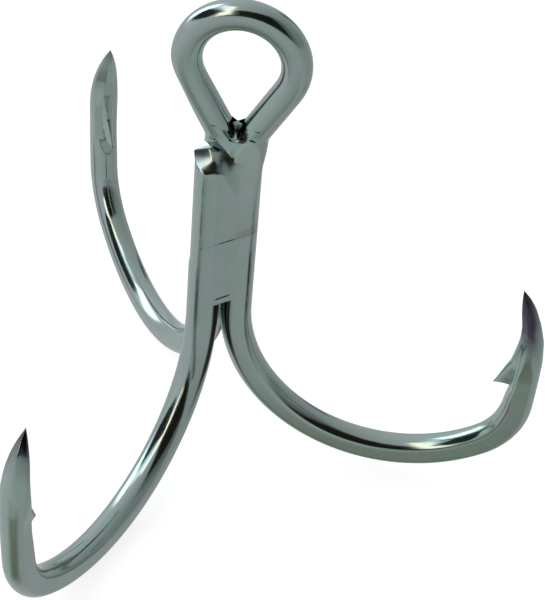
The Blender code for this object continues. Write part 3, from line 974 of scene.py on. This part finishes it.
def build_crotch(material):
    """The braze in the neck, which carries the left leg's form down to the nipped end. It is flush in front
    between the legs, with a hollow under the foot of the eye."""
    heights = np.linspace(CROTCH_TOP, CROTCH_FOOT, 150)
    left, right = neck_legs(heights)
    full = blend(CROTCH_THIN, 1, eased(CROTCH_FOOT, CROTCH_FULL, heights))
    waist, waist_length = CROTCH_WAIST
    radius = (EYE_WIRE * RADIUS - CROTCH_CLEAR) * full - waist * trench(heights - NECK_TOP, waist_length)
    thinner, run_in = CROTCH_CAP
    cap = radius - thinner * eased(NECK_TOP - run_in, NECK_TOP, heights)
    across = unit(right - left)
    front_way = np.stack((across[:, 1], -across[:, 0], across[:, 2]), axis=1)
    columns = np.linspace(0.0, 1.0, 49)[None, :]
    web = left[:, None] * (1 - columns[..., None]) + right[:, None] * columns[..., None]
    gap = np.linalg.norm(right - left, axis=1)[:, None]
    aside = np.minimum(columns, 1 - columns) * gap
    hollow = np.sqrt(np.maximum(radius[:, None] ** 2 - aside**2, 0.0))
    depth = ((CROTCH_TOP - heights) / (CROTCH_TOP - HOLLOW_FOOT))[:, None]
    front_start = HOLLOW_START * between(HOLLOW_ACROSS, columns)
    front = blend(hollow, radius[:, None], eased(front_start, 1.0, depth))
    back = blend(hollow, radius[:, None], eased(0.0, 1.0, depth))
    rows = (
        web + front[..., None] * front_way[:, None],
        arc_row(right, front_way, across, cap),
        (web - back[..., None] * front_way[:, None])[:, ::-1],
        arc_row(left, -front_way, -across, cap),
    )
    rings = np.concatenate(rows, axis=1) + heights[:, None, None] * UP
    limit = SHANK_FLAT * RADIUS - recess(*flat_places(rings)[:2]) - CROTCH_LIMIT
    over = np.maximum((rings - FLAT_MIDDLE) @ FLAT_OUT - limit, 0.0)
    rings = rings - over[..., None] * FLAT_OUT
    # The hollow under the eye is painted dark brown as shade.
    pit_shade_share = pit_shade(rings)
    marks = {"grain": rings, **NO_MARKS, "brown": pit_shade_share, "painted_shade": pit_shade_share}
    loft("neck_braze", rings, marks, material, "crotch_braze")


# ---- Materials ----


class Nodes:
    """The nodes of a material or of the world, with short calls to add and link them."""

    def __init__(self, owner, shader):
        owner.use_nodes = True
        self.owner = owner
        self.tree = owner.node_tree
        self.shader = self.tree.nodes[shader]

    def add(self, kind, settings=(), **inputs):
        node = self.tree.nodes.new(kind)
        for key, value in dict(settings).items():
            setattr(node, key, value)
        return self.filled(node, **inputs)

    def feed(self, socket, value):
        if isinstance(value, bpy.types.NodeSocket):
            self.tree.links.new(value, socket)
        else:
            socket.default_value = value

    def filled(self, node, *values, **named):
        """The node, with its first inputs or its named ones fed."""
        for socket, value in zip(node.inputs, values):
            self.feed(socket, value)
        for name, value in named.items():
            self.feed(node.inputs[name.replace("_", " ")], value)
        return node

    def attribute(self, name, output="Fac"):
        return self.add("ShaderNodeAttribute", {"attribute_name": name}).outputs[output]

    def math(self, operation, first, second=0.0, clamp=False):
        node = self.add("ShaderNodeMath", {"operation": operation, "use_clamp": clamp})
        return self.filled(node, first, second).outputs[0]

    def dot(self, first, second):
        node = self.add("ShaderNodeVectorMath", {"operation": "DOT_PRODUCT"})
        return self.filled(node, first, second).outputs["Value"]

    def noise(self, vector, scale, detail=3.0, roughness=0.5):
        inputs = {"Vector": vector, "Scale": scale, "Detail": detail, "Roughness": roughness}
        return self.add("ShaderNodeTexNoise", **inputs).outputs["Fac"]

    def spread(self, value, low, high, to_low=0.0, to_high=1.0, kind="LINEAR"):
        """The value moved from one range to another, and held inside it."""
        node = self.add("ShaderNodeMapRange", {"clamp": True, "interpolation_type": kind})
        return self.filled(node, value, low, high, to_low, to_high).outputs[0]

    def mixed(self, share, first, second):
        node = self.add("ShaderNodeMix", {"data_type": "RGBA"})
        self.feed(node.inputs["Factor"], share)
        self.feed(node.inputs[6], first)
        self.feed(node.inputs[7], second)
        return node.outputs[2]


PLATE_COLOURS = {
    "plain": (0.352, 0.474, 0.443, 1.0),
    "cool": (0.392, 0.458, 0.476, 1.0),
    "warm": (0.42, 0.484, 0.385, 1.0),
    "violet": (0.075, 0.065, 0.10, 1.0),
    "brown": (0.24, 0.21, 0.15, 1.0),
    # The next colour is painted shade, for the cracks, the hollow under the eye, the flats' edges and the
    # split's cheeks.
    "painted_shade": (0.02, 0.018, 0.014, 1.0),
}
# What is laid over the plain colour: its noise, where in that it starts and is full, and how strong it is at
# both. It also follows the mesh's mark of its name, if there is one.
LAID_OVER = (
    ("cool", "patches", (0.42, 0.66), (0.0, 1.0)),
    ("warm", "specks", (0.5, 0.75), (0.0, 0.7)),
    ("violet", "patches", (0.3, 0.6), (0.6, 1.0)),
    ("brown", "specks", (0.35, 0.6), (0.4, 1.0)),
)
PATCH_SCALE = 420.0
SPECK_SCALE = 1500.0
DULLNESS_SCALE = 900.0
RIPPLE_SCALE = 700.0
DRAW_LINE_SCALES = (120.0, 2600.0, 2600.0)  # along the wire, and across it
DRAW_LINE_HEIGHT = 0.25  # against the ripples
DULLNESS_REACH = (0.35, 0.7)  # in its noise
DULLNESS_SPREAD = 0.07
WORKED_DULLNESS = 0.07
PAINTED_SHADE_DARKNESS = 0.98


def plating(name, roughness, bump_height):
    nodes = Nodes(bpy.data.materials.new(name), "Principled BSDF")
    places = nodes.add("ShaderNodeTexCoord").outputs["Object"]
    patches = nodes.noise(places, PATCH_SCALE, 2.0)
    specks = nodes.noise(places, SPECK_SCALE, 3.0, 0.6)
    colour = PLATE_COLOURS["plain"]
    for mark, noise, reach, strength in LAID_OVER:
        share = nodes.spread({"patches": patches, "specks": specks}[noise], *reach, *strength)
        if mark in NO_MARKS:
            share = nodes.math("MULTIPLY", nodes.attribute(mark), share)
        colour = nodes.mixed(share, colour, PLATE_COLOURS[mark])
    # Painted shade, darkest in the cracks, the hollow under the eye, the flats' edges and the split's cheeks.
    painted_shade = nodes.math("MULTIPLY", nodes.attribute("painted_shade"), PAINTED_SHADE_DARKNESS, True)
    colour = nodes.mixed(painted_shade, colour, PLATE_COLOURS["painted_shade"])
    grain = nodes.attribute("grain", "Vector")
    stretched = nodes.add("ShaderNodeMapping", Vector=grain, Scale=DRAW_LINE_SCALES).outputs[0]
    draw_lines = nodes.noise(stretched, 1.0, 3.0, 0.6)
    dull = nodes.spread(nodes.attribute("worked"), 0.0, 1.0, 0.0, WORKED_DULLNESS)
    uneven = nodes.noise(places, DULLNESS_SCALE, 4.0)
    varied = nodes.spread(uneven, *DULLNESS_REACH, roughness, roughness + DULLNESS_SPREAD)
    rough = nodes.math("ADD", varied, dull)
    ripples = nodes.noise(places, RIPPLE_SCALE, 2.0)
    height = nodes.math("ADD", nodes.math("MULTIPLY", draw_lines, DRAW_LINE_HEIGHT), ripples)
    bump = nodes.add("ShaderNodeBump", Height=height, Strength=1.0, Distance=bump_height)
    nodes.filled(nodes.shader, Base_Color=colour, Metallic=1.0, Roughness=rough, Normal=bump.outputs[0])
    return nodes.owner


# ---- Stage ----

CAMERA_AIM = Vector((0.003736, 0.000058, -0.022347))
CAMERA_AZIMUTH = 5.489
CAMERA_ELEVATION = 41.534
CAMERA_ROLL = 5.076
CAMERA_DISTANCE = 0.16202
CAMERA_LENS = 122.4
FLOOR_RADIUS = 1.5
FLOOR_GLOW = 0.78
STUDIO_LEVEL = 0.53

# Below the horizon and above it: the azimuth of the bright side, and how bright the dark and bright sides are.
TABLE = (-80.0, 0.85, 1.3)
ROOM = (-110.0, 0.58, 1.62)
HORIZON = (-0.06, 0.1)  # the heights between which the table ends and the room starts

# Soft boxes and dark screens that the metal also reflects: azimuth and elevation, tilt, half the width and
# height, and the soft edge, all in degrees; then the colour, against STUDIO_LEVEL.
SCREENS = (
    ((-12.0, -56.0), 0.0, (31.0, 27.0), 27.0, (0.46, 0.47, 0.34)),
    ((30.0, 32.0), 0.0, (40.0, 34.0), 14.0, (0.36, 0.39, 0.37)),
    ((12.0, 30.0), 8.0, (37.0, 32.0), 7.0, (0.035, 0.03, 0.022)),
    ((-36.0, 42.0), 27.0, (9.5, 36.0), 5.0, (5.2, 4.7, 3.6)),
    ((-72.0, 31.0), 8.0, (29.0, 17.0), 4.0, (0.04, 0.05, 0.07)),
    ((-80.0, 59.0), 0.0, (19.0, 9.0), 7.0, (3.4, 3.6, 4.1)),
    ((-120.0, 26.0), 0.0, (16.0, 26.0), 9.0, (5.2, 5.6, 5.9)),
    ((155.0, 7.0), 0.0, (7.0, 15.0), 5.0, (0.2, 0.2, 0.2)),
)


def looking_back(azimuth, elevation):
    """The way from the object to something at this azimuth, where 0 is -Y and 90 is +X, and elevation."""
    around, above = math.radians(azimuth), math.radians(elevation)
    return Vector((math.sin(around) * math.cos(above), -math.cos(around) * math.cos(above), math.sin(above)))


def facing(way, roll):
    """The turn of a camera that looks this way, rolled by this many degrees."""
    return way.to_track_quat("-Z", "Y").to_matrix() @ Matrix.Rotation(math.radians(roll), 3, "Z")


def build_camera():
    data = bpy.data.cameras.new("camera")
    data.lens = CAMERA_LENS
    data.clip_start = 0.001
    camera = added("camera", data)
    back = looking_back(CAMERA_AZIMUTH, CAMERA_ELEVATION)
    turn = facing(-back, CAMERA_ROLL)
    camera.matrix_world = Matrix.Translation(CAMERA_AIM + back * CAMERA_DISTANCE) @ turn.to_4x4()
    bpy.context.scene.camera = camera


def build_floor():
    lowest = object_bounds()[0].z
    mesh = bpy.data.meshes.new("floor")
    model = bmesh.new()
    bmesh.ops.create_circle(model, cap_ends=True, segments=96, radius=FLOOR_RADIUS)
    model.to_mesh(mesh)
    model.free()
    floor = added("floor", mesh)
    floor.location = (0.0, 0.0, lowest)
    nodes = Nodes(bpy.data.materials.new("floor"), "Principled BSDF")
    nodes.filled(nodes.shader, Base_Color=(0.5, 0.5, 0.5, 1.0), Roughness=0.9, Specular_IOR_Level=0.0)
    nodes.filled(nodes.shader, Emission_Color=(1.0, 1.0, 1.0, 1.0), Emission_Strength=FLOOR_GLOW)
    mesh.materials.append(nodes.owner)
    floor.visible_glossy = False


def screen_share(nodes, way, middle, tilt, halves, edge):
    """1 on a flat screen that stands square to its direction, 0 off it, with a soft edge."""
    ahead = looking_back(*middle)
    turn = facing(-ahead, tilt)
    front = nodes.dot(way, ahead)
    margins = []
    for axis, half in zip((turn.col[0], turn.col[1]), halves):
        aside = nodes.math("ABSOLUTE", nodes.dot(way, axis))
        reach = nodes.math("MULTIPLY", front, math.tan(math.radians(half)))
        margins.append(nodes.math("SUBTRACT", reach, aside))
    soft = math.tan(math.radians(edge))
    return nodes.spread(nodes.math("MINIMUM", *margins), 0.0, soft, kind="SMOOTHSTEP")


def lit_from(nodes, way, side):
    """A level that rises from the dark side to the bright one."""
    azimuth, dark, bright = side
    return nodes.spread(nodes.dot(way, looking_back(azimuth, 0.0)), -1.0, 1.0, dark, bright)


def build_world():
    """A grey studio for the metal to reflect, which the camera itself sees as plain white."""
    nodes = Nodes(bpy.data.worlds.new("studio"), "Background")
    way = nodes.add("ShaderNodeTexCoord").outputs["Generated"]
    height = nodes.add("ShaderNodeSeparateXYZ", Vector=way).outputs["Z"]
    level = nodes.add("ShaderNodeMix", {"data_type": "FLOAT"})
    nodes.feed(level.inputs[0], nodes.spread(height, *HORIZON))
    nodes.feed(level.inputs[2], lit_from(nodes, way, TABLE))
    nodes.feed(level.inputs[3], lit_from(nodes, way, ROOM))
    grey = nodes.add("ShaderNodeCombineXYZ", X=level.outputs[0], Y=level.outputs[0], Z=level.outputs[0])
    colour = grey.outputs[0]
    for *form, tint in SCREENS:
        colour = nodes.mixed(screen_share(nodes, way, *form), colour, (*tint, 1.0))
    seen = nodes.add("ShaderNodeLightPath").outputs["Is Camera Ray"]
    white = 1.0 / STUDIO_LEVEL
    colour = nodes.mixed(seen, colour, (white, white, white, 1.0))
    nodes.filled(nodes.shader, Color=colour, Strength=STUDIO_LEVEL)
    bpy.context.scene.world = nodes.owner


def main():
    plated = plating("plated_wire_look", roughness=0.1, bump_height=0.00001)
    brazed = plating("braze_look", roughness=0.15, bump_height=0.000015)
    build_double_hook(plated)
    build_single_hook(plated)
    build_front_run(brazed)
    build_side_run("left_braze", "left_braze_run", "front", "rear", brazed)
    build_side_run("rear_braze", "rear_braze_run", "right", "rear", brazed)
    build_core_run(brazed)
    build_crotch(brazed)
    build_camera()
    build_floor()
    build_world()
    bpy.context.scene.view_settings.view_transform = "Standard"


main()
